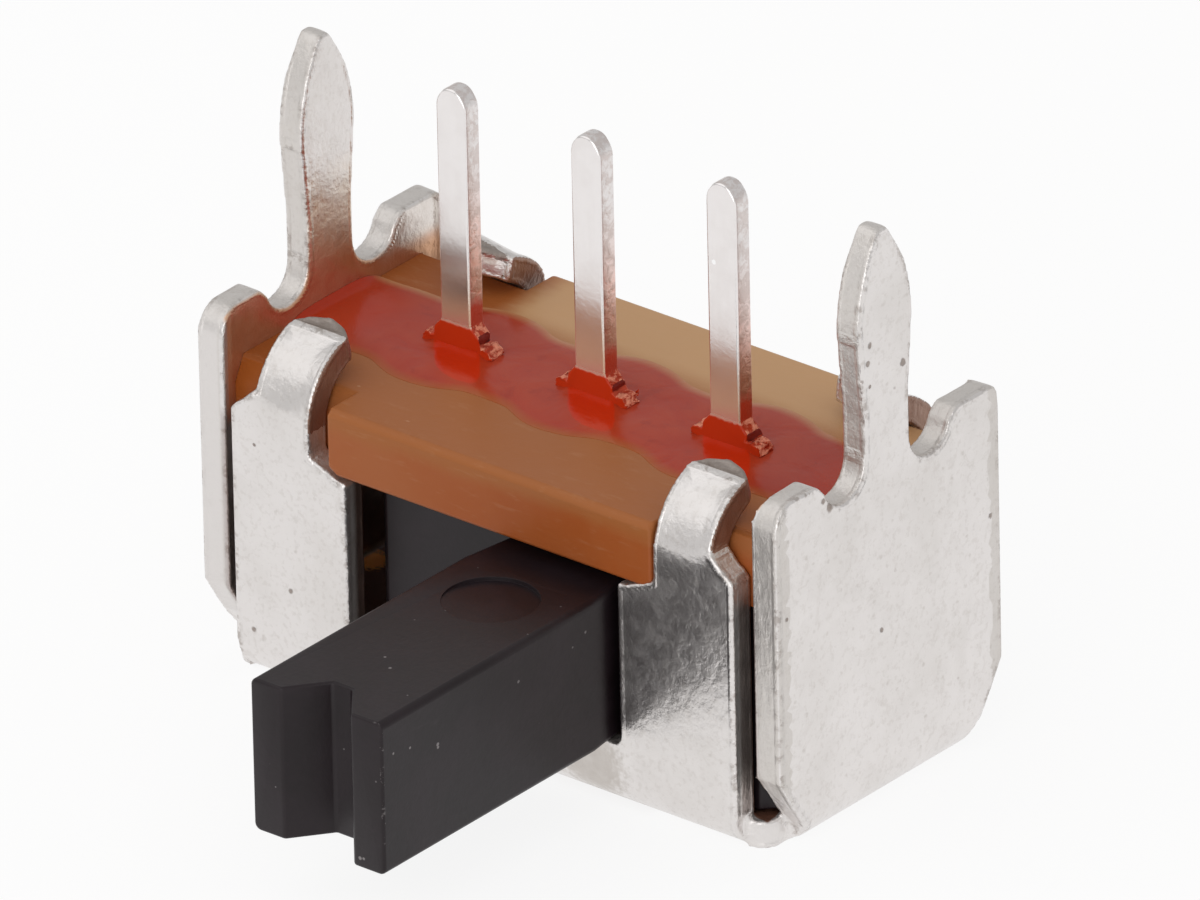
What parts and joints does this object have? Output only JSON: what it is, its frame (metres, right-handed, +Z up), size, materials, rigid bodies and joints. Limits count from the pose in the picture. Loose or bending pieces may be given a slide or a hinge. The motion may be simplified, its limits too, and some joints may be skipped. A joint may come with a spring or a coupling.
{
  "type": "slide switch",
  "caption": "Miniature right-angle slide switch: steel can with mounting legs, moulded base sealed with resin, through-hole terminals and a sideways-sliding knob.",
  "frame": {"origin": "middle of the outer face of the can's flat floor", "axes": "+Z up out of the can, along the terminals and the mounting legs; +X along the terminal row, which is also the slider's travel; the knob points to -Y"},
  "size_m": [0.0086, 0.0085, 0.0073],
  "materials": {
    "tinned_steel": "tin-plated, satin",
    "tinned_brass": "brass, tin-plated, sheared edges showing copper",
    "phenolic": "moulded phenolic, satin",
    "resin": "cured sealing resin, glossy",
    "black_plastic": "moulded, satin",
    "contact_strip": "plain spring strip"
  },
  "bodies": {
    "housing": {"frame": "tinned_steel", "terminal_base": "phenolic", "resin_seal": "resin", "terminal_left": "tinned_brass", "terminal_common": "tinned_brass", "terminal_right": "tinned_brass"},
    "slider": {"slider": "black_plastic", "moving_contact": "contact_strip"}
  },
  "joints": [
    {"name": "slider_travel", "type": "slide", "parent": "housing", "child": "slider", "axis": [1, 0, 0], "range_m": [-0.002, 0]}
  ]
}
